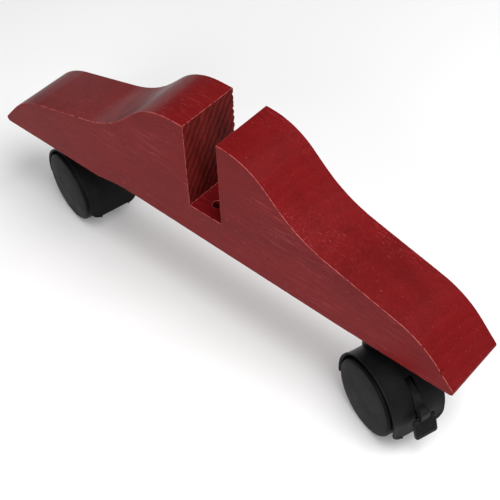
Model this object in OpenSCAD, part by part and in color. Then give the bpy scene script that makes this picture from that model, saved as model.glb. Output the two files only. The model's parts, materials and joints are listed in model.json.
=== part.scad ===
// Rolling foot for a free-standing panel or screen.
// A shaped wooden block with an upright slot stands on two hooded twin-wheel casters, one with a brake.
// Origin: middle of the slot's floor. X runs along the foot, Z is up.

/* [Wooden block] */
// Length of the block, toe to toe
foot_l = 361; // [300:1:440]
// Thickness of the block
foot_w = 43; // [36:1:60]
// Height of the block at its crest
foot_h = 88; // [70:1:110]
// Half length of the crest, out to where its slope would meet it
crest_x = 36.5; // [30:0.5:45]
// Radius that turns the crest into the slope
crest_r = 46; // [10:1:50]
// Level run from the crest corner out to the valley corner
slope_run = 37.5; // [28:0.5:48]
// Height of the valley corner
valley_h = 52; // [40:1:62]
// Radius of the hollow valley
valley_r = 80; // [20:1:90]
// Height of the nose corner
nose_h = 29.5; // [22:0.5:36]
// Level run of the toe below the nose corner
toe_run = 26; // [18:0.5:36]
// Radius over the nose
nose_r = 56; // [10:1:60]
// Radius of the toe's tip
toe_r = 2.5; // [1:0.5:4]
// Depth of the hollow planed under the block
relief_h = 3.8; // [1:0.1:6]
// Slope length of the hollow's steep end
relief_ramp = 20; // [10:1:40]
// Flat pad left under the plain end
plain_pad = 88; // [84:1:100]
// Flat land left inboard of the braked stem
braked_land = 14; // [10:0.5:24]

/* [Panel slot] */
// Width of the slot
slot_w = 25; // [18:0.5:32]
// Wood left between the slot's floor and the pads
floor_h = 26; // [20:0.5:34]
// How far the slot sits from the block's middle, towards the braked end
slot_shift = 3.5; // [-10:0.5:10]
// Diameter of the two panel bolt holes
bolt_d = 6.5; // [4:0.1:9]
// Distance between the panel bolt holes
bolt_pitch = 21; // [16:0.5:26]

/* [Caster places] */
// Stem axis in from the toe, braked end
braked_inset = 62; // [58:0.5:74]
// Stem axis in from the toe, plain end
plain_inset = 34; // [30:0.5:74]
// Braked stem axis from the block's middle plane
braked_side = -5.5; // [-8:0.5:8]
// Plain stem axis from the block's middle plane
plain_side = 5.5; // [-8:0.5:8]
// Direction in which the braked caster trails
braked_turn = -19; // [-180:1:180]
// Direction in which the plain caster trails
plain_turn = -13; // [-180:1:180]

/* [Caster] */
// Wheel diameter
wheel_d = 50; // [46:0.5:60]
// Tread width of one wheel
tread_w = 13; // [11:0.5:16]
// Gap between the two wheels
wheel_gap = 13; // [12.5:0.5:16]
// Thickness of the wheel's rim
rim_t = 2.3; // [1.5:0.1:3]
// How far the wheel's face domes out
dome = 1.2; // [0.4:0.1:2]
// Axle diameter
axle_d = 6; // [4:0.5:8]
// Distance from the stem axis to the axle
trail = 18; // [17:0.5:24]
// Distance from the wood down to the axle
drop = 39; // [37:0.5:52]
// Room between the wheel and the hood
hood_gap = 1.2; // [0.8:0.1:2]
// Wall of the hood
hood_t = 1.6; // [1.2:0.1:2.5]
// How far the hood's edge stands back from the wheel's face
hood_back = 1.3; // [0.5:0.1:3]
// Straight end of the hood behind the wheels, down from the axle
hood_skirt = 11; // [6:0.5:14]
// Lower end of the hood ahead of the wheels, below level
hood_nose = 16; // [10:1:20]
// Corner radius of the hood's tail
hood_corner = 7; // [3:0.5:10]
// Radius of the boss that holds the stem
boss_r = 7.5; // [7:0.5:10]

/* [Stem] */
// Stem diameter
stem_d = 8; // [6:0.5:9]
// Width across the flats of the stem's collar
collar_af = 13; // [11:0.5:17]
// Height of the stem's collar
collar_h = 4; // [3:0.5:6]
// Length of the insert nut in the wood
insert_l = 15; // [12:1:20]
// Wall of the insert nut
insert_t = 2; // [1.5:0.1:3]
// Thickness of the nylon washer
washer_t = 1; // [0.8:0.1:1.5]
// Thickness of the retaining ring
ring_t = 1; // [0.8:0.1:1.4]

/* [Brake] */
// Width of the pedal
pedal_w = 15; // [12:0.5:20]
// Length of the pedal's tread
pedal_l = 12; // [10:0.5:18]
// Thickness of the pedal
pedal_t = 2.2; // [1.8:0.1:3]
// Lean of the pedal out from upright
pedal_lean = 17; // [8:1:20]
// Width of the lever's arm
arm_w = 5; // [4:0.5:7]
// Thickness of the lever's arm
arm_t = 2.6; // [2:0.1:3]
// Diameter of the pedal's pivot pin and of the brake bar
pin_d = 3; // [2:0.1:3.2]
// Number of ribs on the pedal
ribs = 5; // [3:1:7]

/* [Clearances] */
// Radial play of anything that turns on a shaft
play = 0.05; // [0.02:0.01:0.1]
// Radial play of anything pressed or screwed home
seat = 0.02; // [0.01:0.01:0.05]
// Room between faces that move past each other
room = 0.3; // [0.2:0.05:0.6]

/* [Hidden] */
$fn = 64;
arc_step = 4;

pad_z = -floor_h;
toe_angle = atan2(nose_h, toe_run);
toe_x = foot_l / 2 + toe_r / tan(toe_angle / 2) - toe_r;
nose_x = toe_x - toe_run;
valley_x = crest_x + slope_run;

wheel_r = wheel_d / 2;
axle_r = axle_d / 2;
stem_r = stem_d / 2;
pin_r = pin_d / 2;
web_w = wheel_gap - 2 * room - 0.4;
face_y = wheel_gap / 2 + tread_w;
hub_r = axle_r + 2.5;
hub_end = face_y - 3.2;
hood_in = wheel_r + hood_gap;
hood_out = hood_in + hood_t;
hood_y = face_y - hood_back;
rim_in = wheel_r - rim_t;

washer_z = -collar_h - washer_t;
boss_z = washer_z - room / 2;
column_z = -drop + 2;
ring_z = column_z - room - ring_t;
ring_r = stem_r + 1.6;
insert_r = stem_r + insert_t;
flange_r = insert_r + 2.5;
flange_t = 1.5;
insert_hole = insert_l + 2;

pivot = [axle_r + 1, rim_in - 6.7];
bar = [-axle_r - 1, rim_in - 3.2];
pedal_top = [hood_out + 5.2, 5];
elbow = [hood_out - 14.8, rim_in - 8.7];
slot_low = 0;
slot_high = 60;
arm_low = 22;
arm_high = 38;
arm_out = hood_out + 0.6;
arm_in = arm_out - arm_t;

// Arc of radius r that rounds the corner here between its neighbours
function unit(v) = v / norm(v);
function wrap(a) = a > 180 ? a - 360 : a < -180 ? a + 360 : a;
function polar(r, a) = r * [cos(a), sin(a)];
function heading(v) = atan2(v[1], v[0]);
function arc(centre, r, from, turn) =
    let (steps = max(2, ceil(abs(turn) / arc_step)))
    [for (i = [0 : steps]) centre + polar(r, from + turn * i / steps)];
function corner(before, here, after, r) =
    let (
        a = unit(before - here),
        b = unit(after - here),
        half = acos(a * b) / 2,
        centre = here + unit(a + b) * r / sin(half),
        from = heading(here + a * r / tan(half) - centre),
        to = heading(here + b * r / tan(half) - centre)
    )
    arc(centre, r, from, wrap(to - from));
function xz(p) = [p[0], p[1]];
// Closed outline through corners [x, z, radius]; radius 0 leaves the corner sharp
function outline(path) = [
    for (i = [0 : len(path) - 1])
        let (
            here = path[i],
            before = path[(i + len(path) - 1) % len(path)],
            after = path[(i + 1) % len(path)]
        )
        each here[2] == 0 ? [xz(here)] : corner(xz(before), xz(here), xz(after), here[2])
];

// Extrudes a side view drawn in X and Z to a width w about Y = 0
module side_view(w) {
    rotate([90, 0, 0])
        linear_extrude(w, center = true)
            children();
}

// Cylinder along Y
module across(r, w) {
    rotate([90, 0, 0])
        cylinder(r = r, h = w, center = true);
}

// The underside at a caster's stem axis, turned to where the caster trails
module braked_place() {
    translate([foot_l / 2 - braked_inset - slot_shift, braked_side, pad_z])
        rotate([0, 0, braked_turn])
            children();
}

module plain_place() {
    translate([plain_inset - foot_l / 2 - slot_shift, plain_side, pad_z])
        rotate([0, 0, plain_turn])
            children();
}

// The middle of a caster's axle
module at_axle() {
    translate([trail, 0, -drop])
        children();
}

module block_profile() {
    polygon(outline([
        [-toe_x, 0, toe_r],
        [-nose_x, nose_h, nose_r],
        [-valley_x, valley_h, valley_r],
        [-crest_x, foot_h, crest_r],
        [crest_x, foot_h, crest_r],
        [valley_x, valley_h, valley_r],
        [nose_x, nose_h, nose_r],
        [toe_x, 0, toe_r]
    ]));
}

module relief_profile() {
    steep_x = plain_pad - foot_l / 2;
    fade_x = foot_l / 2 - braked_inset - braked_land;
    polygon(outline([
        [steep_x, -1, 0],
        [steep_x, 0, 0],
        [steep_x + relief_ramp, relief_h, 3 * relief_ramp],
        [fade_x, 0, 0],
        [fade_x, -1, 0]
    ]));
}

// Hole in the wood for an insert nut and its flange
module insert_hole() {
    translate([0, 0, -1])
        cylinder(r = insert_r + seat, h = insert_hole + 1);
    translate([0, 0, -1])
        cylinder(r = flange_r + seat, h = flange_t + 1);
}

module foot_block() {
    color("firebrick")
    difference() {
        translate([-slot_shift, 0, pad_z])
            side_view(foot_w)
                block_profile();
        translate([-slot_shift, 0, pad_z])
            side_view(foot_w + 2)
                relief_profile();
        translate([-slot_w / 2, -foot_w / 2 - 1, 0])
            cube([slot_w, foot_w + 2, foot_h]);
        for (side = [-1, 1])
            translate([0, side * bolt_pitch / 2, pad_z - 1])
                cylinder(d = bolt_d, h = floor_h + 2);
        braked_place() insert_hole();
        plain_place() insert_hole();
    }
}

// Flanged nut that is driven into the wood
module insert_nut() {
    difference() {
        union() {
            cylinder(r = insert_r, h = insert_l);
            cylinder(r = flange_r, h = flange_t);
        }
        translate([0, 0, -1])
            cylinder(r = stem_r + seat, h = insert_l + 2);
    }
}

// Stem: threaded length in the nut, hexagonal collar, plain pin in the caster and a groove for the ring
module stem() {
    groove_r = stem_r - 0.7;
    translate([0, 0, -collar_h])
        cylinder(d = collar_af / cos(30), h = collar_h, $fn = 6);
    cylinder(r = stem_r, h = insert_l);
    translate([0, 0, ring_z + ring_t + room / 2])
        cylinder(r = stem_r, h = -collar_h - ring_z - ring_t - room / 2);
    translate([0, 0, ring_z - room / 2])
        cylinder(r = groove_r, h = ring_t + room);
    translate([0, 0, ring_z - room / 2 - 1.5])
        cylinder(r = stem_r, h = 1.5);
}

module washer() {
    translate([0, 0, washer_z])
        difference() {
            cylinder(r = boss_r - 0.5, h = washer_t);
            translate([0, 0, -1])
                cylinder(r = stem_r + play, h = washer_t + 2);
        }
}

module retaining_ring() {
    translate([0, 0, ring_z])
        difference() {
            cylinder(r = ring_r, h = ring_t);
            translate([0, 0, -1])
                cylinder(r = stem_r - 0.7 + seat, h = ring_t + 2);
            translate([-stem_r / 2, 0, -1])
                cube([stem_r, stem_r + 3, ring_t + 2]);
        }
}

// Curved shell over the wheels, open below
module hood_shell() {
    rotate([90, 0, 0])
        rotate_extrude(angle = 180 + hood_nose)
            hood_section();
    translate([0, 0, -hood_skirt])
        linear_extrude(hood_skirt)
            hood_section();
}

// Section of the hood's wall, thicker along both edges
module hood_section() {
    lip = 0.4;
    lip_w = 2;
    polygon([
        [hood_in, -hood_y],
        [hood_out, -hood_y],
        [hood_out + lip, -hood_y + lip],
        [hood_out + lip, -hood_y + lip_w],
        [hood_out, -hood_y + lip_w + lip],
        [hood_out, hood_y - lip_w - lip],
        [hood_out + lip, hood_y - lip_w],
        [hood_out + lip, hood_y - lip],
        [hood_out, hood_y],
        [hood_in, hood_y]
    ]);
}

// What is cut from the hood's tail to round one of its corners
module tail_corner(side) {
    translate([hood_in - 3, 0, -hood_skirt])
        rotate([90, 0, 90])
            linear_extrude(12)
                difference() {
                    translate([side * (hood_y + 1 - hood_corner / 2) - hood_corner / 2 - 0.5, -1])
                        square([hood_corner + 1, hood_corner + 1]);
                    translate([side * (hood_y - hood_corner), hood_corner])
                        circle(r = hood_corner + 0.5);
                }
}

// Middle wall of the caster: column round the stem, bridge to the axle and the axle's boss
module web() {
    column = boss_r - 1;
    intersection() {
        union() {
            side_view(web_w)
                polygon([
                    [-trail - column, drop + column_z],
                    [-trail + column, drop + column_z],
                    [-axle_r, -hub_r],
                    [hub_r - 1, -axle_r],
                    [hub_r - 1, axle_r + 1],
                    [-trail + column, rim_in - 8.7],
                    [-trail + column, hood_out],
                    [-trail - column, hood_out]
                ]);
            across(hub_r + 1.5, web_w);
        }
        across(hood_in + hood_t / 2, web_w + 2);
    }
}

// Two cheeks that carry the pedal's pin
module cheeks() {
    cheek_t = (web_w - arm_w) / 2 - room;
    for (side = [-1, 1])
        translate([0, side * (web_w - cheek_t) / 2, 0])
            intersection() {
                side_view(cheek_t)
                    polygon([
                        [pivot[0] - 3.5, axle_r],
                        [pivot[0] + 2.5, axle_r],
                        [pivot[0] + 6, pivot[1] - 2],
                        [pivot[0] + 6, hood_out],
                        [pivot[0] - 3.5, hood_out]
                    ]);
                across(hood_in + hood_t / 2, cheek_t + 2);
            }
}

module hood(braked) {
    difference() {
        union() {
            at_axle() {
                difference() {
                    hood_shell();
                    for (side = [-1, 1])
                        tail_corner(side);
                    if (braked)
                        arm_slot();
                }
                web();
                if (braked)
                    cheeks();
            }
            difference() {
                translate([0, 0, -drop + hood_in / 2])
                    cylinder(r = boss_r, h = boss_z + drop - hood_in / 2);
                at_axle()
                    across(hood_in + hood_t / 2, 4 * boss_r);
            }
        }
        translate([0, 0, column_z - 1])
            cylinder(r = stem_r + play, h = drop + 2);
        translate([0, 0, column_z - wheel_r])
            cylinder(r = ring_r + room, h = wheel_r);
        at_axle()
            across(axle_r + seat, web_w + 2);
        if (braked)
            at_axle()
                translate([pivot[0], 0, pivot[1]])
                    across(pin_r + seat, web_w + 2);
    }
}

// Opening in the hood for the brake lever's arm
module arm_slot() {
    side_view(arm_w + 2 * room)
        polygon([
            [0, 0],
            polar(2 * hood_out, slot_low),
            polar(2 * hood_out, slot_low + 30),
            polar(2 * hood_out, slot_high)
        ]);
}

module axle() {
    at_axle()
        across(axle_r, 2 * hub_end - 2 * room);
}

// One wheel: side is -1 or 1 along the caster's own Y
module wheel(side) {
    inner = wheel_gap / 2;
    bend = 1;
    flat_r = wheel_r - bend;
    at_axle()
        rotate([-90 * side, 0, 0])
            rotate_extrude()
                polygon([
                    [axle_r + play, inner],
                    [hub_r, inner],
                    [hub_r, face_y - 2.2],
                    [rim_in - 2, face_y - 2.8],
                    [rim_in, face_y - 4.8],
                    [rim_in, inner],
                    [wheel_r - 0.6, inner],
                    [wheel_r, inner + 0.6],
                    each [for (a = [0 : 15 : 75]) [flat_r, face_y - bend] + polar(bend, a)],
                    each [for (i = [5 : -1 : 0]) [flat_r * i / 5, face_y + dome * (1 - i * i / 25)]],
                    [0, hub_end],
                    [axle_r + play, hub_end]
                ]);
}

// Side view of the brake lever: nose for the bar, hub on the pin, arm in the hood's slot, lip over the pedal
module lever_profile() {
    difference() {
        union() {
            translate(pivot) circle(r = pin_r + 2.4);
            translate(bar) circle(r = pin_r + 1.4);
            polygon([
                bar + [-1, 2.2],
                bar + [-1, -2.4],
                pivot + [0, -3.5],
                elbow,
                each arc([0, 0], arm_in, arm_high - 3, arm_low - arm_high),
                pedal_top + [-4.8, 2],
                pedal_top + [-1.4, -4],
                pedal_top + [0.4, -3],
                pedal_top + [0.2, 5.2],
                pedal_top + [-0.5, 6.6],
                pedal_top + [-3.4, 7.4],
                each arc([0, 0], arm_out, arm_low, arm_high - arm_low),
                elbow + [0.5, 5.5],
                pivot + [1, 3.7]
            ]);
        }
        translate(pivot) circle(r = pin_r + play);
        translate(bar) circle(r = pin_r + seat);
    }
}

// Tread of the pedal: a leaning plate with rounded lower corners and ribs across it
module pedal_plate() {
    round = 2;
    rib_h = 0.7;
    rib_pitch = (pedal_l - 4) / ribs;
    translate([pedal_top[0], 0, pedal_top[1]])
        rotate([0, -pedal_lean, 0]) {
            translate([-pedal_t, 0, 0])
                rotate([90, 0, 90])
                    linear_extrude(pedal_t) {
                        translate([-pedal_w / 2, round - pedal_l])
                            square([pedal_w, pedal_l - round]);
                        translate([round - pedal_w / 2, -pedal_l])
                            square([pedal_w - 2 * round, pedal_l]);
                        for (side = [-1, 1])
                            translate([side * (pedal_w / 2 - round), round - pedal_l])
                                circle(r = round);
                    }
            for (i = [1 : ribs])
                translate([-0.1, -pedal_w / 2 + 1, -i * rib_pitch - rib_h])
                    cube([rib_h + 0.1, pedal_w - 2, rib_pitch / 2]);
        }
}

module brake_pedal() {
    at_axle() {
        side_view(arm_w)
            lever_profile();
        pedal_plate();
    }
}

module pedal_pin() {
    at_axle()
        translate([pivot[0], 0, pivot[1]])
            across(pin_r, web_w);
}

module brake_bar() {
    at_axle()
        translate([bar[0], 0, bar[1]])
            across(pin_r, 2 * (wheel_gap / 2 + tread_w / 2));
}

module right_insert_nut() { color("goldenrod") braked_place() insert_nut(); }
module right_stem() { color("silver") braked_place() stem(); }
module right_washer() { color("white") braked_place() washer(); }
module right_retaining_ring() { color("gray") braked_place() retaining_ring(); }
module right_hood() { color([0.12, 0.12, 0.13]) braked_place() hood(true); }
module right_axle() { color("silver") braked_place() axle(); }
module right_front_wheel() { color([0.18, 0.18, 0.19]) braked_place() wheel(-1); }
module right_back_wheel() { color([0.18, 0.18, 0.19]) braked_place() wheel(1); }
module right_brake_pedal() { color([0.1, 0.1, 0.1]) braked_place() brake_pedal(); }
module right_pedal_pin() { color("silver") braked_place() pedal_pin(); }
module right_brake_bar() { color("silver") braked_place() brake_bar(); }

module left_insert_nut() { color("goldenrod") plain_place() insert_nut(); }
module left_stem() { color("silver") plain_place() stem(); }
module left_washer() { color("white") plain_place() washer(); }
module left_retaining_ring() { color("gray") plain_place() retaining_ring(); }
module left_hood() { color([0.12, 0.12, 0.13]) plain_place() hood(false); }
module left_axle() { color("silver") plain_place() axle(); }
module left_front_wheel() { color([0.18, 0.18, 0.19]) plain_place() wheel(-1); }
module left_back_wheel() { color([0.18, 0.18, 0.19]) plain_place() wheel(1); }

foot_block();
right_insert_nut();
right_stem();
right_washer();
right_retaining_ring();
right_hood();
right_axle();
right_front_wheel();
right_back_wheel();
right_brake_pedal();
right_pedal_pin();
right_brake_bar();
left_insert_nut();
left_stem();
left_washer();
left_retaining_ring();
left_hood();
left_axle();
left_front_wheel();
left_back_wheel();
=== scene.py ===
import json
import math
import random

import bpy
from mathutils import Matrix, Vector


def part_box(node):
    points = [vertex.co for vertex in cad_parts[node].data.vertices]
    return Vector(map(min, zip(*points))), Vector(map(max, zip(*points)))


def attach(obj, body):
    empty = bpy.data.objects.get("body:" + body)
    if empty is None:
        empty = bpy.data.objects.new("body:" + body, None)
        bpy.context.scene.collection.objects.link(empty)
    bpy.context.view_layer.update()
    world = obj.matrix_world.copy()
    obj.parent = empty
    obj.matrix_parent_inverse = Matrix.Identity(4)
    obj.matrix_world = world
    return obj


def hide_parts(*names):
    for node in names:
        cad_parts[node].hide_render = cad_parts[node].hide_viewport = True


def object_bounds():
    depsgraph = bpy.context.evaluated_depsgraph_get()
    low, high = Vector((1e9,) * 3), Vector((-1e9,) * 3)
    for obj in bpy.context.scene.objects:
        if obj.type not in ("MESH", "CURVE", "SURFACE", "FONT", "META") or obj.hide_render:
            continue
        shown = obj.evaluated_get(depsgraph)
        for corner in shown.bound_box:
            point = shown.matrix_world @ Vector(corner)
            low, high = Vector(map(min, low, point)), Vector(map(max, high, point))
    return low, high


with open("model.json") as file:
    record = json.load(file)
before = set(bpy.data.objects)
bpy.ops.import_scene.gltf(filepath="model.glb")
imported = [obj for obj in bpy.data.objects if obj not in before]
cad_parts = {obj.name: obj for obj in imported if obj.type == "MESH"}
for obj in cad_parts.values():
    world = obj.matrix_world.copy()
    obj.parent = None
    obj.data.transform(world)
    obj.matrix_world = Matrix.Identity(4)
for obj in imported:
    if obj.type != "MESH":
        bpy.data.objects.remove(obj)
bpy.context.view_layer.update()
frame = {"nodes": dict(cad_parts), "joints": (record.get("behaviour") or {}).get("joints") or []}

# ---------------------------------------------------------------------------------------------
# Wooden block. One thick board of close-grained wood, sawn to its profile on a bandsaw, sanded,
# stained dark red and varnished. The arrises are eased and have worn back to pink bare wood.
# ---------------------------------------------------------------------------------------------
MM = 0.001
weld = 0.004 * MM
block_low, block_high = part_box("foot_block")
arris = 0.7 * MM
slot_half = 12.5 * MM


def pick(piece):
    """Makes this piece the only one selected, and the active one."""
    bpy.ops.object.select_all(action="DESELECT")
    piece.select_set(True)
    bpy.context.view_layer.objects.active = piece


def fix_modifiers(piece):
    """Applies every modifier, in order."""
    pick(piece)
    for modifier in list(piece.modifiers):
        bpy.ops.object.modifier_apply(modifier=modifier.name)


def ease_edges(piece, width, steps=2, angle=35, paint_slot=-1):
    """Bevels each sharp edge; the new faces take the material in paint_slot, if one is given."""
    bevel = piece.modifiers.new("eased edges", "BEVEL")
    bevel.width = width
    bevel.segments = steps
    bevel.limit_method = "ANGLE"
    bevel.angle_limit = math.radians(angle)
    bevel.material = paint_slot
    bevel.use_clamp_overlap = True
    fix_modifiers(piece)


def even_shading(piece, angle=40):
    """Smooth shading up to the angle, with the flats kept flat."""
    pick(piece)
    bpy.ops.object.shade_smooth_by_angle(angle=math.radians(angle))
    flats = piece.modifiers.new("even flats", "WEIGHTED_NORMAL")
    flats.mode = "FACE_AREA_WITH_ANGLE"
    flats.keep_sharp = True
    fix_modifiers(piece)


def carve(piece, cutter, operation="DIFFERENCE"):
    """Cuts one mesh with another, or joins them, then throws the cutter away."""
    cut = piece.modifiers.new("carve", "BOOLEAN")
    cut.operation = operation
    cut.solver = "EXACT"
    cut.object = cutter
    fix_modifiers(piece)
    bpy.data.objects.remove(cutter)


def merged_copy(node, name):
    """A new piece with the CAD node's shape, its loose triangles merged into whole faces."""
    piece = bpy.data.objects.new(name, frame["nodes"][node].data.copy())
    bpy.context.scene.collection.objects.link(piece)
    piece.data.materials.clear()
    pick(piece)
    bpy.ops.object.mode_set(mode="EDIT")
    bpy.ops.mesh.select_all(action="SELECT")
    bpy.ops.mesh.remove_doubles(threshold=weld)
    bpy.ops.mesh.dissolve_limited(angle_limit=math.radians(0.4))
    bpy.ops.object.mode_set(mode="OBJECT")
    if piece.data.has_custom_normals:
        bpy.ops.mesh.customdata_custom_splitnormals_clear()
    return piece


def finish_named(name):
    """A new material: its nodes, its links and its surface shader."""
    material = bpy.data.materials.new(name)
    material.use_nodes = True
    nodes = material.node_tree.nodes
    return material, nodes, material.node_tree.links, nodes["Principled BSDF"]


def placed(nodes, links, scale=(1, 1, 1), turn=(0, 0, 0), shift=(0, 0, 0)):
    """Object coordinates, scaled and turned, for a pattern that stays with the piece."""
    coordinate = nodes.new("ShaderNodeTexCoord")
    mapping = nodes.new("ShaderNodeMapping")
    mapping.inputs["Scale"].default_value = scale
    mapping.inputs["Rotation"].default_value = turn
    mapping.inputs["Location"].default_value = shift
    links.new(coordinate.outputs["Object"], mapping.inputs["Vector"])
    return mapping.outputs["Vector"]


def speckle(nodes, links, vector, scale, detail=4, rough=0.55, warp=0):
    """Noise over the given coordinates."""
    texture = nodes.new("ShaderNodeTexNoise")
    texture.inputs["Scale"].default_value = scale
    texture.inputs["Detail"].default_value = detail
    texture.inputs["Roughness"].default_value = rough
    texture.inputs["Distortion"].default_value = warp
    links.new(vector, texture.inputs["Vector"])
    return texture.outputs["Fac"]


def graded(nodes, links, value, stops):
    """A ramp over the value; each stop is a position and a grey or a colour."""
    ramp = nodes.new("ShaderNodeValToRGB")
    while len(ramp.color_ramp.elements) < len(stops):
        ramp.color_ramp.elements.new(0.5)
    for element, (place, tone) in zip(ramp.color_ramp.elements, stops):
        element.position = place
        element.color = (*tone, 1) if isinstance(tone, tuple) else (tone, tone, tone, 1)
    links.new(value, ramp.inputs["Fac"])
    return ramp.outputs["Color"]


def blended(nodes, links, amount, first, second):
    """Mixes two colours, each a socket or a plain colour; the amount is a socket or a number."""
    mix = nodes.new("ShaderNodeMix")
    mix.data_type = "RGBA"
    factor, start, end = mix.inputs[0], mix.inputs[6], mix.inputs[7]
    for socket, value in ((factor, amount), (start, first), (end, second)):
        if isinstance(value, bpy.types.NodeSocket):
            links.new(value, socket)
        else:
            socket.default_value = value if isinstance(value, float) else (*value, 1)
    return mix.outputs[2]


def tinted(nodes, links, base, colour, pattern, stops):
    """The base, changed to another colour by as much as the graded pattern says."""
    return blended(nodes, links, graded(nodes, links, pattern, stops), base, colour)


def summed(nodes, links, *parts):
    """Adds up pairs of a socket and its weight."""
    total = None
    for socket, weight in parts:
        term = nodes.new("ShaderNodeMath")
        term.operation = "MULTIPLY_ADD"
        links.new(socket, term.inputs[0])
        term.inputs[1].default_value = weight
        term.inputs[2].default_value = 0
        if total is not None:
            links.new(total, term.inputs[2])
        total = term.outputs[0]
    return total


def relief(nodes, links, surface, height, depth):
    """Bump of the given depth in metres."""
    bump = nodes.new("ShaderNodeBump")
    bump.inputs["Distance"].default_value = depth
    bump.inputs["Strength"].default_value = 1
    links.new(height, bump.inputs["Height"])
    links.new(bump.outputs["Normal"], surface.inputs["Normal"])


def waves(nodes, links, vector, scale, warp, warp_scale):
    """Wavy stripes, drawn out of true by noise; their kind is set by the caller."""
    texture = nodes.new("ShaderNodeTexWave")
    texture.inputs["Scale"].default_value = scale
    texture.inputs["Distortion"].default_value = warp
    texture.inputs["Detail"].default_value = 3
    texture.inputs["Detail Scale"].default_value = warp_scale
    texture.inputs["Detail Roughness"].default_value = 0.6
    links.new(vector, texture.inputs["Vector"])
    return texture


def streaks(nodes, links, stretch, turn=(0, 0, 0), shift=(0, 0, 0), **noise):
    """Noise drawn out along the board, the more so the smaller the stretch."""
    return speckle(nodes, links, placed(nodes, links, (stretch, 1, 1), turn, shift), **noise)


def stained_wood(name, worn=0.0, sawn=False):
    """Red stain over straight grain under satin varnish; worn edges and sawn walls are variants."""
    material, nodes, links, surface = finish_named(name)
    deep, plain, bright = (0.078, 0.0026, 0.0036), (0.134, 0.0042, 0.0052), (0.205, 0.0090, 0.0095)
    pink_fleck, pink_scuff, bare_wood = (0.42, 0.075, 0.07), (0.33, 0.055, 0.065), (0.55, 0.135, 0.125)

    # Growth rings, fibres, darker clouds of stain and pale flecks
    along = placed(nodes, links, scale=(0.09, 1, 1), shift=(0, 0.012, 0.15))
    rings = waves(nodes, links, along, scale=62, warp=5, warp_scale=28)
    rings.wave_type = "RINGS"
    rings.rings_direction = "X"
    rings.wave_profile = "SAW"
    growth = rings.outputs["Fac"]
    fibre = streaks(nodes, links, 0.05, scale=1500, detail=5, rough=0.65)
    cloud = streaks(nodes, links, 0.4, scale=38, detail=4, rough=0.55, warp=0.6)
    fleck = streaks(nodes, links, 0.3, scale=900, detail=2, rough=0.5)
    base = graded(nodes, links, growth, [(0.0, deep), (0.35, plain), (0.8, plain), (1.0, bright)])
    base = blended(nodes, links, 0.55, base, plain)
    base = tinted(nodes, links, base, bright, fibre, [(0.40, 0.0), (0.75, 0.55)])
    base = tinted(nodes, links, base, deep, cloud, [(0.42, 0.0), (0.72, 0.45)])
    base = tinted(nodes, links, base, pink_fleck, fleck, [(0.70, 0.0), (0.76, 0.5)])

    # Fine scratches, only where the varnish has been rubbed
    scratch = streaks(nodes, links, 0.045, turn=(0, 0, 0.06), scale=1150, detail=3, rough=0.75)
    rubbed = streaks(nodes, links, 0.6, shift=(0.3, 0.1, 0), scale=24, detail=3, rough=0.5)
    scuff = blended(nodes, links, graded(nodes, links, rubbed, [(0.44, 0.0), (0.66, 0.8)]), (0, 0, 0),
                    graded(nodes, links, scratch, [(0.56, 0.0), (0.70, 1.0)]))
    base = blended(nodes, links, scuff, base, pink_scuff)
    shine = graded(nodes, links, fibre, [(0.3, 0.26), (0.75, 0.46)])
    height = summed(nodes, links, (fibre, 0.6), (growth, 0.12), (cloud, 1.6))

    if worn:
        chips = streaks(nodes, links, 0.35, scale=420, detail=5, rough=0.65)
        bare = graded(nodes, links, chips, [(0.50 - worn, 0.0), (0.62 - worn, 1.0)])
        base = blended(nodes, links, bare, base, bare_wood)
        shine = blended(nodes, links, bare, shine, (0.62, 0.62, 0.62))
    if sawn:
        slant = placed(nodes, links, turn=(math.radians(34), 0, 0))
        stripes = waves(nodes, links, slant, scale=64, warp=4, warp_scale=3)
        stripes.wave_type = "BANDS"
        stripes.bands_direction = "Y"
        saw_marks = stripes.outputs["Fac"]
        pores = speckle(nodes, links, placed(nodes, links), scale=1700, detail=4, rough=0.7)
        upright = placed(nodes, links, scale=(1, 1, 0.5))
        patch = speckle(nodes, links, upright, scale=55, detail=3, rough=0.6)
        cut = summed(nodes, links, (saw_marks, 0.32), (patch, 0.95))
        base = tinted(nodes, links, (0.036, 0.0020, 0.0022), (0.150, 0.0120, 0.0090), cut,
                      [(0.36, 0.0), (0.95, 1.0)])
        base = tinted(nodes, links, base, (0.32, 0.05, 0.045), pores, [(0.55, 0.0), (0.75, 0.5)])
        shine = graded(nodes, links, pores, [(0.3, 0.55), (0.7, 0.8)])
        height = summed(nodes, links, (saw_marks, 0.8), (pores, 1.2))
    links.new(base, surface.inputs["Base Color"])
    links.new(shine, surface.inputs["Roughness"])
    surface.inputs["Specular IOR Level"].default_value = 0.04 if sawn else 0.065
    relief(nodes, links, surface, height, 0.09 * MM)
    return material


block = merged_copy("foot_block", "stained_block")
worn_slot, sawn_slot = 1, 2
for finish in (stained_wood("red stained wood"), stained_wood("worn arris", worn=0.10),
               stained_wood("sawn slot wall", sawn=True)):
    block.data.materials.append(finish)
ease_edges(block, arris, steps=3, angle=32, paint_slot=worn_slot)

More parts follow.
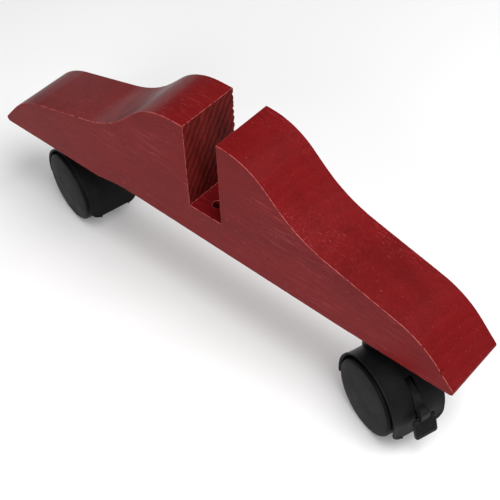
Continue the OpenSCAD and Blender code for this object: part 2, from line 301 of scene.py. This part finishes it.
# Knocks and torn grain: a dent beside the braked toe's arris, and splinters lost along one slot
# edge. Each knock has a place, the half sizes of its hollow in millimetres and its turn.
splinters, first_splinter, splinter_step = 15, 3, 3.9
dent_place = Vector((block_high.x - 8.4 * MM, block_low.y + 1.3 * MM, block_low.z + 14.0 * MM))
random.seed(11)
knocks = [(dent_place, (2.3, 2.0, 1.9), (0.0, 0.7, 0.2))]
for step in range(splinters):
    tall = random.uniform(1.2, 3.4)
    place = Vector((-slot_half + random.uniform(-0.1, 0.5) * MM,
                    block_high.y + random.uniform(-0.1, 0.6) * MM,
                    (first_splinter + step * splinter_step) * MM + random.uniform(-1, 1) * MM))
    half_sizes = (random.uniform(0.7, 1.3), random.uniform(0.9, 1.7), tall)
    knocks.append((place, half_sizes, (random.uniform(-0.5, 0.5), 0.3, 0.5)))
for place, half_sizes, turn in knocks:
    bpy.ops.mesh.primitive_ico_sphere_add(subdivisions=3 if place is dent_place else 1, radius=MM,
                                          location=place, rotation=turn, scale=half_sizes)
    cutter = bpy.context.active_object
    pick(cutter)
    bpy.ops.object.transform_apply(location=True, rotation=True, scale=True)
    carve(block, cutter)
for face in block.data.polygons:
    in_slot = abs(face.center.x) < slot_half + 0.5 * MM and face.center.z > 0
    if in_slot and abs(face.normal.x) > 0.95:
        face.material_index = sawn_slot
even_shading(block)
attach(block, "foot")
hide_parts("foot_block")

# ---------------------------------------------------------------------------------------------
# Casters. Each hood is one black nylon moulding: a curved shell with a beaded rim over the wheels,
# a middle wall that carries the axle, and a boss that the stem runs in. The wheels are the same
# nylon, turned true in the mould, with a domed face, a rounded rim and a hollow back.
# ---------------------------------------------------------------------------------------------
joints = {joint["name"]: joint for joint in frame["joints"]}
wheel_r, wheel_w, gap = 25 * MM, 13 * MM, 13 * MM
trail = 18 * MM

# Hood: its radii and half width, how far the skirt hangs and the degrees that the nose reaches
# past level, the radii of their corners, and half the slot that the brake pedal's arm runs in
hood_in, hood_out, hood_y = 26.2 * MM, 27.8 * MM, 18.2 * MM
skirt, nose = 11 * MM, 16
skirt_corner, nose_corner, corner_from = 7 * MM, 3 * MM, 7 * MM
arm_half = 2.8 * MM

# Inside the hood: the middle wall, the bosses and the bores for the axle and the stem
web_w, axle_boss_r, stem_boss_r = 12 * MM, 7 * MM, 7.5 * MM
axle_bore_r, stem_bore_r = 3.02 * MM, 4.05 * MM


def caster_place(side):
    """Takes a piece modelled about its own axle, trailing towards +X, to its caster on the block."""
    spin = joints[side + "_front_wheel_spin"]
    axle = Vector(spin["axis"])
    out = Vector((axle.y, -axle.x, 0))
    turn = Matrix((out, axle, Vector((0, 0, 1)))).transposed().to_4x4()
    return Matrix.Translation(Vector(spin["pos_m"])) @ turn


def black_nylon(name, tone, gloss, grain, scratch=0.0):
    """Moulded nylon: spark-eroded grain, slight mottling and rubbed streaks."""
    material, nodes, links, surface = finish_named(name)
    plain = placed(nodes, links)
    fine = speckle(nodes, links, plain, 2600, 3, 0.6)
    broad = speckle(nodes, links, plain, 70, 4, 0.55)
    slanting = placed(nodes, links, scale=(1, 1, 0.12), turn=(0.5, 0.3, 0))
    rub = speckle(nodes, links, slanting, 900, 4, 0.6)
    dust = graded(nodes, links, broad, [(0.40, 0.0), (0.75, 0.35)])
    dark = (tone * 0.75, tone * 0.75, tone * 0.77)
    colour = blended(nodes, links, dust, dark, (tone * 1.5, tone * 1.48, tone * 1.46))
    pale = (tone * 3.2, tone * 3.1, tone * 3.0)
    colour = tinted(nodes, links, colour, pale, rub, [(0.66, 0.0), (0.78, 0.25 + scratch)])
    shine = graded(nodes, links, broad, [(0.3, gloss - 0.06), (0.7, gloss + 0.08)])
    links.new(colour, surface.inputs["Base Color"])
    links.new(shine, surface.inputs["Roughness"])
    surface.inputs["Specular IOR Level"].default_value = 0.055
    relief(nodes, links, surface, summed(nodes, links, (fine, grain), (broad, 1.0)), 0.05 * MM)
    return material


hood_nylon = black_nylon("hood nylon", 0.0095, 0.38, 0.8)
wheel_nylon = black_nylon("wheel nylon", 0.0030, 0.42, 0.5)


def choose(piece, kind, test):
    """Opens the piece in edit mode with only the wanted edges or faces selected."""
    pick(piece)
    bpy.ops.object.mode_set(mode="EDIT")
    bpy.ops.mesh.select_mode(type="VERT")
    bpy.ops.mesh.select_all(action="DESELECT")
    bpy.ops.mesh.select_mode(type=kind)
    bpy.ops.object.mode_set(mode="OBJECT")
    mesh = piece.data
    if kind == "EDGE":
        for edge in mesh.edges:
            edge.select = test(*(mesh.vertices[i].co for i in edge.vertices))
    else:
        for face in mesh.polygons:
            face.select = test(face.center, face.normal)
    bpy.ops.object.mode_set(mode="EDIT")


def done(turn_out=False):
    """Leaves edit mode, with doubles merged and faces pointing out if asked."""
    if turn_out:
        bpy.ops.mesh.select_all(action="SELECT")
        bpy.ops.mesh.remove_doubles(threshold=weld)
        bpy.ops.mesh.normals_make_consistent(inside=False)
    bpy.ops.object.mode_set(mode="OBJECT")


def rod(radius, length, place=(0, 0, 0), upright=False, sides=64):
    """A round bar about the axle's direction or about the upright."""
    bpy.ops.object.select_all(action="DESELECT")
    bpy.ops.mesh.primitive_cylinder_add(vertices=sides, radius=radius, depth=length, location=place,
                                        rotation=(0 if upright else math.pi / 2, 0, 0))
    bar = bpy.context.active_object
    bpy.ops.object.transform_apply(location=True, rotation=True)
    return bar


def slab(name, outline, thick, aside=0):
    """An outline drawn in X and Z in millimetres, extruded evenly about the plane y = aside."""
    bpy.ops.object.select_all(action="DESELECT")
    bpy.ops.mesh.primitive_circle_add(vertices=len(outline), radius=MM, fill_type="NGON")
    piece = bpy.context.active_object
    piece.name = name
    for vertex, (x, z) in zip(piece.data.vertices, outline):
        vertex.co = (x * MM, aside - thick / 2, z * MM)
    bpy.ops.object.mode_set(mode="EDIT")
    bpy.ops.mesh.select_all(action="SELECT")
    bpy.ops.mesh.extrude_region_move(TRANSFORM_OT_translate={"value": (0, thick, 0)})
    done(turn_out=True)
    return piece


def copied(piece, name):
    """A copy with a mesh of its own."""
    twin = bpy.data.objects.new(name, piece.data.copy())
    bpy.context.scene.collection.objects.link(twin)
    return twin


# Wheel: a disc whose rim is rounded and whose face is drawn out to a dome, ring by ring
wheel = rod(wheel_r, wheel_w, (0, gap / 2 + wheel_w / 2, 0), sides=96)
face_y = gap / 2 + wheel_w
choose(wheel, "FACE", lambda centre, normal: normal.y > 0.9)
bpy.ops.mesh.bevel(offset=2.4 * MM, segments=6, affect="EDGES")
done()
choose(wheel, "FACE", lambda centre, normal: normal.y > 0.999 and centre.y > face_y - 0.01 * MM)
dome_in, dome_up = (2.0, 3.2, 4.4, 5.2, 5.4), (0.22, 0.27, 0.25, 0.17, 0.08)
for step_in, step_up in zip(dome_in, dome_up):
    bpy.ops.mesh.inset(thickness=step_in * MM)
    bpy.ops.transform.translate(value=(0, step_up * MM, 0))
done()
choose(wheel, "FACE", lambda centre, normal: normal.y < -0.9)
bpy.ops.mesh.bevel(offset=0.6 * MM, segments=3, affect="EDGES")
done()

# Its hollow back: in from the rim, down with a sloped corner, back up the hub, and down the bore
rim_wall, hollow, slope_in, slope_down = 1.7 * MM, 8.2 * MM, 2.2 * MM, 1.9 * MM
hub_in, hub_tall, hub_wall, bore_deep = 15 * MM, 10.1 * MM, 2.45 * MM, 9.8 * MM
choose(wheel, "FACE", lambda centre, normal: normal.y < -0.999 and centre.y < gap / 2 + 0.01 * MM)
bpy.ops.mesh.inset(thickness=rim_wall)
bpy.ops.mesh.extrude_region_move(TRANSFORM_OT_translate={"value": (0, hollow, 0)})
bpy.ops.mesh.inset(thickness=slope_in)
bpy.ops.transform.translate(value=(0, slope_down, 0))
bpy.ops.mesh.inset(thickness=hub_in)
bpy.ops.mesh.extrude_region_move(TRANSFORM_OT_translate={"value": (0, -hub_tall, 0)})
bpy.ops.mesh.inset(thickness=hub_wall)
bpy.ops.mesh.extrude_region_move(TRANSFORM_OT_translate={"value": (0, bore_deep, 0)})
done(turn_out=True)
wheel.data.materials.append(wheel_nylon)
even_shading(wheel)

# Hood: a flat skirt with two beads, spun over the wheels about the axle, with its corners rounded
across = [hood_y - edge * MM for edge in (0, 0.5, 1.7, 2.4)] + [11 * MM, corner_from, arm_half]
across = [-side for side in across] + across[::-1]
down = [-skirt + step * MM for step in (0, 0.15, 0.5, 1, 1.7, 2.5, 3.5, 5, 7, 9)] + [0]
bead_columns = (1, 2, len(across) - 3, len(across) - 2)
bpy.ops.object.select_all(action="DESELECT")
bpy.ops.mesh.primitive_grid_add(x_subdivisions=len(across) - 1, y_subdivisions=len(down) - 1, size=2)
hood = bpy.context.active_object
for vertex in hood.data.vertices:
    column = round((vertex.co.x + 1) / 2 * (len(across) - 1))
    row = round((vertex.co.y + 1) / 2 * (len(down) - 1))
    bead = 0.45 * MM if column in bead_columns else 0
    vertex.co = (hood_out + bead, across[column], down[row])
choose(hood, "EDGE", lambda one, other: min(one.z, other.z) > -0.01 * MM)
bpy.ops.mesh.spin(steps=49, angle=math.radians(180 + nose), center=(0, 0, 0), axis=(0, 1, 0))
done(turn_out=True)
for vertex in hood.data.vertices:
    place = vertex.co
    along_nose = hood_out * (math.radians(180 + nose) - math.atan2(place.z, place.x) % math.tau)
    up = place.z + skirt if place.x > 0 else along_nose
    corner = skirt_corner if place.x > 0 else nose_corner
    if up < corner and abs(place.y) > corner_from:
        narrow = corner - math.sqrt(corner ** 2 - (corner - max(up, 0)) ** 2)
        spread = (abs(place.y) - corner_from) / (hood_y - corner_from)
        place.y = math.copysign(corner_from + spread * (hood_y - narrow - corner_from), place.y)

# An open shell has no inside of its own, so its crown says which way its faces point
crown = max(hood.data.polygons, key=lambda f: f.center.z)
if crown.normal.z < 0:
    hood.data.flip_normals()
plain_hood, braked_hood = hood, copied(hood, "right_caster_hood")
plain_hood.name = "left_caster_hood"
slot_top = 24 * MM
choose(braked_hood, "FACE", lambda centre, normal:
       abs(centre.y) < arm_half and 0 < centre.z < slot_top and centre.x > 0)
bpy.ops.mesh.delete(type="FACE")
done()

# What both hoods share inside: middle wall, axle boss and stem boss, bored for the axle and the stem
axle_drop = block_low.z - Vector(joints["right_front_wheel_spin"]["pos_m"]).z
boss_low, boss_top = 14 * MM, axle_drop - 5.15 * MM
web_outline = [(-24.2, 0.5), (-11.5, 0.5), (-3, -5.5), (3.5, -4.5), (5, -3), (5, 4), (3.5, 5.5),
               (-11.5, 14), (-11.5, 24), (-20, 18.8), (-24.2, 11)]
web = slab("middle_wall", web_outline, web_w)
ease_edges(web, 0.4 * MM)
boss = rod(stem_boss_r, boss_top - boss_low, (-trail, 0, (boss_top + boss_low) / 2), upright=True)
ease_edges(boss, 0.6 * MM)
carve(boss, rod(hood_out - 0.5 * MM, 40 * MM, sides=96))
for shell in (braked_hood, plain_hood):
    wall = shell.modifiers.new("wall", "SOLIDIFY")
    wall.thickness = hood_out - hood_in
    wall.offset = -1
    fix_modifiers(shell)
    ease_edges(shell, 0.35 * MM, angle=50)
    carve(shell, copied(web, "wall"), "UNION")
    carve(shell, rod(axle_boss_r, web_w), "UNION")
    carve(shell, copied(boss, "boss"), "UNION")
    carve(shell, rod(stem_bore_r, 60 * MM, (-trail, 0, 20 * MM), upright=True))
    carve(shell, rod(axle_bore_r, web_w + 2 * MM))
for spare in (web, boss):
    bpy.data.objects.remove(spare)

# The braked hood's two cheeks, which hold the pedal's pin
cheek_line = [(0.5, 3), (6.5, 3), (10, 14), (10, 25.2), (0.5, 26.8)]
cheek_t, cheek_y = 2.2 * MM, 4.6 * MM
for cheek_side in (-1, 1):
    cheek = slab("pedal_cheek", cheek_line, cheek_t, cheek_side * cheek_y)
    carve(braked_hood, cheek, "UNION")

for side, shell in (("right", braked_hood), ("left", plain_hood)):
    shell.data.materials.append(hood_nylon)
    even_shading(shell, 38)
    shell.data.transform(caster_place(side))
    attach(shell, side + "_caster")
    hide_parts(side + "_hood")
    for which, half_turn in (("front", math.pi), ("back", 0)):
        running = copied(wheel, f"{side}_{which}_caster_wheel")
        running.data.transform(caster_place(side) @ Matrix.Rotation(half_turn, 4, "Z"))
        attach(running, f"{side}_{which}_wheel")
        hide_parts(f"{side}_{which}_wheel")
bpy.data.objects.remove(wheel)

# ---------------------------------------------------------------------------------------------
# Brake pedal. A black nylon lever on a cross pin inside the hood: its arm lies in the hood's slot
# and ends in a lip over a ribbed tread for the toe. Pressing it lifts a steel bar to the wheels.
# ---------------------------------------------------------------------------------------------
tread_x, tread_z, tread_lean = 33.0, 5.0, 17
tread_t, tread_w, tread_l = 2.2, 15, 12
arm_in, arm_out, arm_w = 25.8, 28.4, 5 * MM


def arc(radius, degrees):
    """A round stretch about the axle, in millimetres."""
    return [(radius * math.cos(math.radians(a)), radius * math.sin(math.radians(a))) for a in degrees]


# Lever, in millimetres from the axle: the bar's eye, the elbow, under the arm to the tread, round
# the lip, and back over the arm
lip_line = [(-4.8, 2), (-1.6, -4), (0.2, -3), (0.1, 4.6), (-0.1, 5.6), (-0.6, 6.4), (-1.6, 6.9),
            (-3.4, 7.4), (-4.6, 7.0)]
lever_line = [(-5.6, 21.9), (-6.6, 20.3), (-6.3, 18.1), (-4.6, 16.6), (4, 12.4), (13, 14)]
lever_line += arc(arm_in, range(35, 21, -2))
lever_line += [(tread_x + x, tread_z + z) for x, z in lip_line]
lever_line += arc(arm_out, range(24, 39, 2))
lever_line += [(13.5, 19.5), (6, 19.8), (3, 20.5)]
pedal = slab("brake_pedal", lever_line, arm_w)
ease_edges(pedal, 0.35 * MM, angle=28)
pin_hole, bar_hole = (4, 16, 1.55), (-4, 19.5, 1.52)
for hole_x, hole_z, hole_r in (pin_hole, bar_hole):
    carve(pedal, rod(hole_r * MM, 12 * MM, (hole_x * MM, 0, hole_z * MM), sides=40))

# Tread: a plate with rounded lower corners, five ribs, two wings and the lip that joins it to the arm
bpy.ops.object.select_all(action="DESELECT")
bpy.ops.mesh.primitive_cube_add(size=1, location=(-tread_t / 2 * MM, 0, -tread_l / 2 * MM),
                                scale=(tread_t * MM, tread_w * MM, tread_l * MM))
plate = bpy.context.active_object
plate.name = "pedal_tread"
bpy.ops.object.transform_apply(location=True, scale=True)
choose(plate, "EDGE", lambda one, other:
       max(one.z, other.z) < (1 - tread_l) * MM and abs(one.y - other.y) < MM)
bpy.ops.mesh.bevel(offset=1.8 * MM, segments=5, affect="EDGES")
done()
ease_edges(plate, 0.35 * MM)
ribs, first_rib, rib_step, rib_half, rib_w = 5, -1.5, 1.95, 0.45, 13.6 * MM
for rib_at in range(ribs):
    rib_z = first_rib - rib_step * rib_at
    low, high = rib_z - rib_half, rib_z + rib_half
    rib = slab("rib", [(-0.5, low), (0.4, low), (0.7, rib_z), (0.4, high), (-0.5, high)], rib_w)
    carve(plate, rib, "UNION")
wing_line = [(-2.1, -2), (-0.1, -1.2), (0.5, 0.1), (0.2, 1.1), (-0.9, 1.7), (-2.2, 1.3)]
wing_w, wing_y = 3.4 * MM, 5.6 * MM
for wing_side in (-1, 1):
    wing = slab("wing", wing_line, wing_w, wing_side * wing_y)
    ease_edges(wing, 0.3 * MM)
    carve(plate, wing, "UNION")
plate.data.transform(Matrix.Rotation(math.radians(-tread_lean), 4, "Y"))
lip = slab("lip", [(-2.2, -0.6), (0.1, -0.6), (0.2, 4.6), (-0.1, 5.7), (-0.8, 6.5), (-2.0, 6.6),
                   (-2.2, 5)], 6.4 * MM)
ease_edges(lip, 0.35 * MM)
carve(plate, lip, "UNION")
plate.data.transform(Matrix.Translation((tread_x * MM, 0, tread_z * MM)))
carve(pedal, plate, "UNION")
pedal.data.materials.append(black_nylon("pedal nylon", 0.017, 0.36, 0.5, scratch=0.25))
even_shading(pedal)
pedal.data.transform(caster_place("right"))
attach(pedal, "right_pedal")
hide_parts("right_brake_pedal")

# ---------------------------------------------------------------------------------------------
# Steel fittings. Stems with hexagonal collars screwed into flanged nuts in the wood, axles, pedal
# pin and brake bar are zinc plated; the split rings are blackened spring steel; washers are nylon.
# ---------------------------------------------------------------------------------------------


def plated_steel(name, tone, gloss):
    """Turned steel under a thin coat, its bloom a little darker than its tone."""
    material, nodes, links, surface = finish_named(name)
    turning = speckle(nodes, links, placed(nodes, links, scale=(0.15, 0.15, 1)), 2600, 4, 0.6)
    bloom = speckle(nodes, links, placed(nodes, links), 260, 4, 0.6)
    dull = tuple(channel * 0.72 for channel in tone)
    colour = tinted(nodes, links, dull, tone, bloom, [(0.35, 0.0), (0.7, 0.6)])
    shine = graded(nodes, links, turning, [(0.3, gloss - 0.08), (0.7, gloss + 0.12)])
    links.new(colour, surface.inputs["Base Color"])
    links.new(shine, surface.inputs["Roughness"])
    surface.inputs["Metallic"].default_value = 1.0
    relief(nodes, links, surface, turning, 0.03 * MM)
    return material


zinc = plated_steel("zinc plate", (0.60, 0.61, 0.60), 0.36)
spring_steel = plated_steel("blackened spring steel", (0.16, 0.16, 0.165), 0.42)
washer_nylon = black_nylon("washer nylon", 0.020, 0.45, 0.5)
fittings = {"insert_nut": zinc, "stem": zinc, "axle": zinc, "pedal_pin": zinc, "brake_bar": zinc,
            "retaining_ring": spring_steel, "washer": washer_nylon}
for node, fitting in frame["nodes"].items():
    for ending, finish in fittings.items():
        if node.endswith(ending):
            fitting.data.materials.clear()
            fitting.data.materials.append(finish)

# ---------------------------------------------------------------------------------------------
# Studio. A pale floor, a large soft light overhead, a fill in front, a fill and a low rim light
# behind, an even white surround, and the camera.
# ---------------------------------------------------------------------------------------------
bpy.ops.object.select_all(action="DESELECT")
bpy.ops.mesh.primitive_plane_add(size=8, location=(0, 0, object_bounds()[0].z))
floor = bpy.context.active_object
floor.name = "floor"
floor_finish, _, _, surface = finish_named("pale floor")
surface.inputs["Base Color"].default_value = (0.88, 0.88, 0.88, 1)
surface.inputs["Roughness"].default_value = 0.9
surface.inputs["Specular IOR Level"].default_value = 0.1
floor.data.materials.append(floor_finish)


def soft_light(name, place, size, power):
    """A round lamp aimed at the middle of the foot."""
    light = bpy.data.lights.new(name, "AREA")
    light.shape = "DISK"
    light.size = size
    light.energy = power
    lamp = bpy.data.objects.new(name, light)
    lamp.location = place
    lamp.rotation_euler = (Vector((0, 0, 0)) - Vector(place)).to_track_quat("-Z", "Y").to_euler()
    bpy.context.scene.collection.objects.link(lamp)


soft_light("overhead", (0.50, 0.00, 1.00), 1.0, 15.0)
soft_light("front fill", (0.35, -1.30, 0.60), 0.9, 10.5)
soft_light("rim", (-1.40, 0.75, 0.12), 0.30, 0.5)
soft_light("back fill", (0.40, 1.45, 0.25), 0.6, 3.5)
world = bpy.data.worlds.new("studio")
world.use_nodes = True
world.node_tree.nodes["Background"].inputs["Color"].default_value = (1, 1, 1, 1)
world.node_tree.nodes["Background"].inputs["Strength"].default_value = 0.27
bpy.context.scene.world = world
bpy.context.scene.view_settings.view_transform = "Standard"

camera = bpy.data.cameras.new("camera")
camera.lens = 80.42
camera.sensor_width = 36
camera.clip_start, camera.clip_end = 0.02, 20
eye = bpy.data.objects.new("camera", camera)
eye_place = (0.3304, -0.3442, 0.4731)
azimuth, elevation, roll = (math.radians(a) for a in (42.52, 47.65, -2.59))
back = Vector((math.sin(azimuth) * math.cos(elevation), -math.cos(azimuth) * math.cos(elevation),
               math.sin(elevation)))
level = Vector((0, 0, 1)).cross(back).normalized()
above = back.cross(level)
right = level * math.cos(roll) + above * math.sin(roll)
up = above * math.cos(roll) - level * math.sin(roll)
turn = Matrix((right, up, back)).transposed().to_4x4()
eye.matrix_world = Matrix.Translation(eye_place) @ turn
bpy.context.scene.collection.objects.link(eye)
bpy.context.scene.camera = eye
